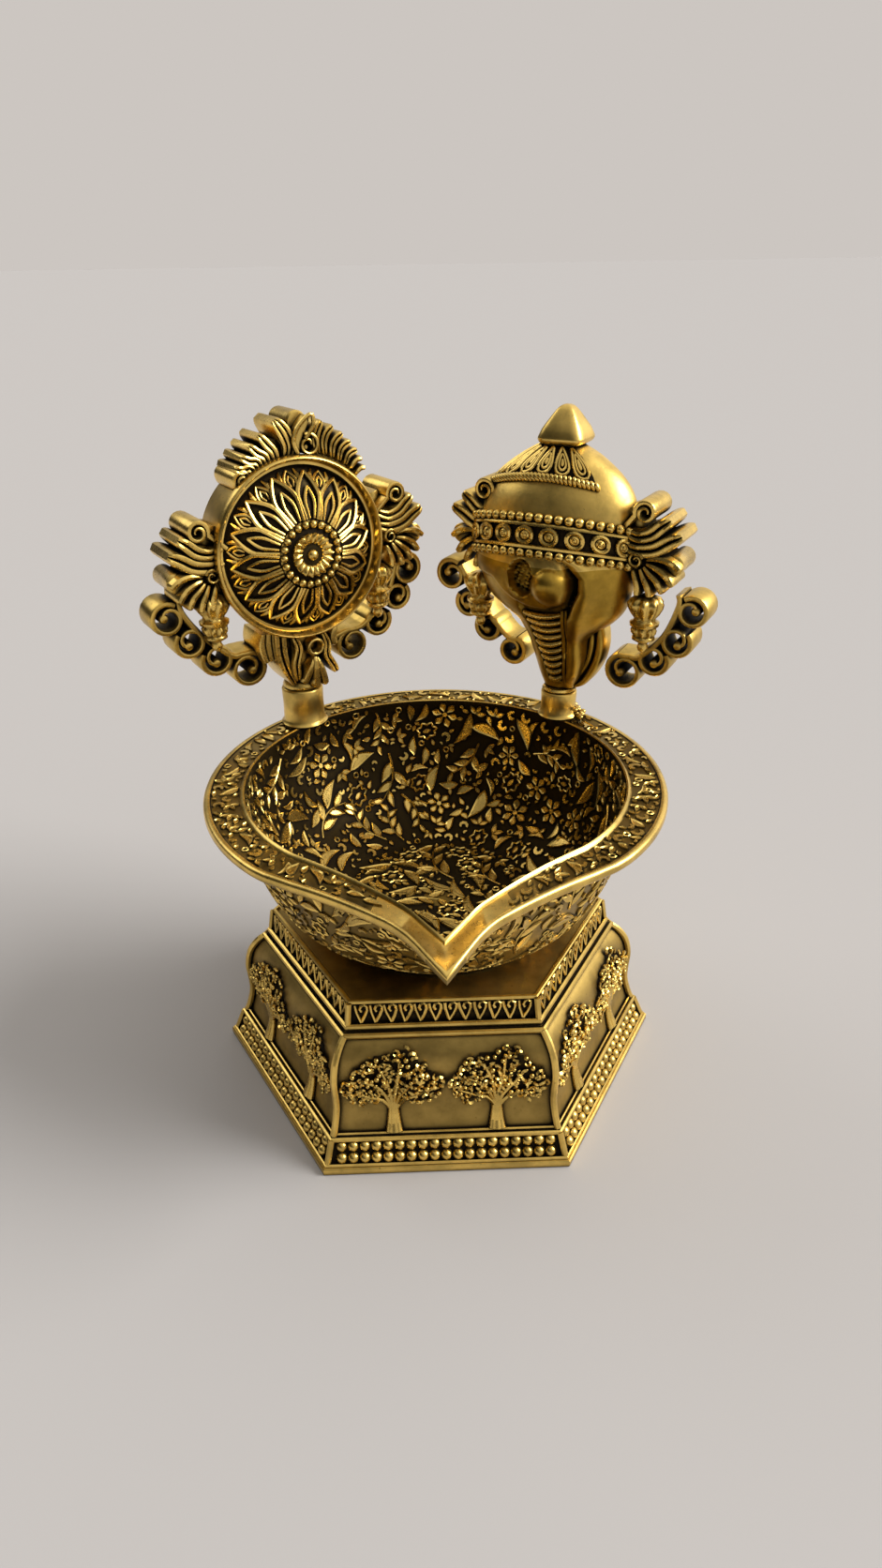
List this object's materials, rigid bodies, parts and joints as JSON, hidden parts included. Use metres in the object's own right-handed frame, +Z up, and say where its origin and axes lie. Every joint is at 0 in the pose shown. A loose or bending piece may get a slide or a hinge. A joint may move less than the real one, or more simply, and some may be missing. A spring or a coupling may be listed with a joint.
{
  "type": "brass oil lamp",
  "caption": "Brass oil lamp: a lipped bowl bolted on a hollow six-sided plinth, with a lotus disc and a conch that turn in sockets at the back of the rim.",
  "frame": {"origin": "middle of the lamp's underside, on the surface it stands on", "axes": "+Z up, the pouring lip points to -Y, the lotus disc stands at -X and the conch at +X"},
  "size_m": [0.136, 0.1322, 0.1511],
  "materials": {
    "brass": "antique brass, high places rubbed bright, hollows darkened",
    "brass_dark": "antique brass with a dark patina between raised ornament",
    "steel": "zinc-grey fastener, satin"
  },
  "bodies": {
    "lamp": {"plinth": "brass", "bowl": "brass_dark", "bowl_stud": "steel", "stud_washer": "steel", "stud_nut": "steel", "disc_socket": "brass", "conch_socket": "brass"},
    "disc_emblem": {"disc_stem": "brass", "disc_drum": "brass", "disc_face_ring": "brass", "lotus_medallion": "brass_dark", "lotus_hub": "brass", "disc_crest": "brass", "disc_flames_right": "brass", "disc_flames_left": "brass", "disc_scrolls_right": "brass", "disc_scrolls_left": "brass", "disc_pendant_right": "brass", "disc_pendant_left": "brass"},
    "conch_emblem": {"conch_stem": "brass", "conch_shell": "brass", "conch_ribs": "brass_dark", "conch_band": "brass_dark", "conch_hood": "brass", "conch_finial": "brass", "conch_flames_right": "brass", "conch_flames_left": "brass", "conch_scrolls_right": "brass", "conch_scrolls_left": "brass", "conch_pendant_right": "brass", "conch_pendant_left": "brass"}
  },
  "joints": [
    {"name": "disc_swivel", "type": "hinge", "parent": "lamp", "child": "disc_emblem", "pos_m": [-0.0331, 0.04091, 0.0843], "axis": [0, 0, 1], "range_deg": [0, 45]},
    {"name": "conch_swivel", "type": "hinge", "parent": "lamp", "child": "conch_emblem", "pos_m": [0.03308, 0.04091, 0.0814], "axis": [0, 0, -1], "range_deg": [0, 45]}
  ]
}
